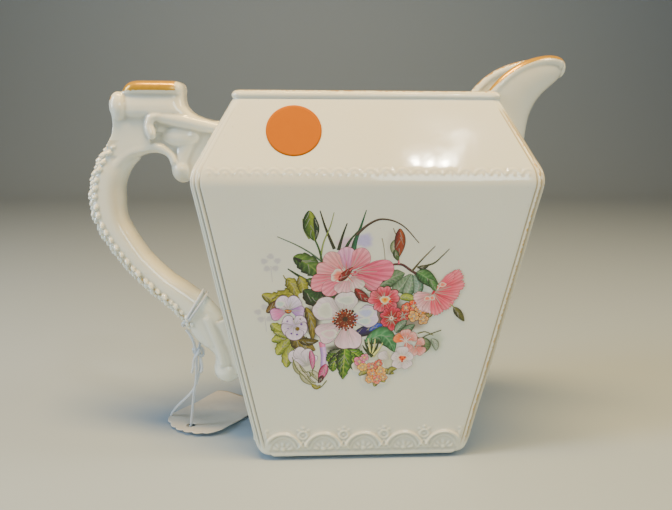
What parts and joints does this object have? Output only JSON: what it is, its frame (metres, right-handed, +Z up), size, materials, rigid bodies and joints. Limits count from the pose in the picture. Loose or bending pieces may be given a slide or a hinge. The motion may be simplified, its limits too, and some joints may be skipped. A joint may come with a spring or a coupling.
{
  "type": "porcelain cream jug",
  "caption": "Tapered rectangular porcelain cream jug with a beak spout, a scrolled handle with a thumb block, worn gilding, a floral panel and a string swing tag.",
  "frame": {"origin": "on the table, under the middle of the jug's length and depth, measured without the string and tag", "axes": "+X from the handle to the spout, +Y from the front panel to the back, +Z up"},
  "size_m": [0.1774, 0.0749, 0.1519],
  "materials": {
    "glaze": "glossy cream-white glaze",
    "biscuit": "unglazed, matt",
    "gilding": "worn fired gold",
    "transfer": "printed flowers under the glaze",
    "sticker": "matt coated paper",
    "string": "twisted cotton",
    "tag": "matt card"
  },
  "bodies": {
    "jug": {"body_shell": "glaze", "foot_ring": "biscuit", "spout": "glaze", "handle_bracket": "glaze", "handle_thumb_block": "glaze", "handle_grip": "glaze", "handle_terminal": "glaze", "gilt_rim": "gilding", "gilt_spout_lip": "gilding", "gilt_thumb_block": "gilding", "front_transfer": "transfer", "back_transfer": "transfer", "price_sticker": "sticker", "string_hitch": "string"},
    "tag": {"tag_string": "string", "string_knot": "string", "swing_tag": "tag"}
  },
  "joints": [
    {"name": "tag_swing", "type": "hinge", "parent": "jug", "child": "tag", "pos_m": [-0.05595, 0, 0.0468], "axis": [1, 0, 0], "range_deg": [0, 60]}
  ]
}
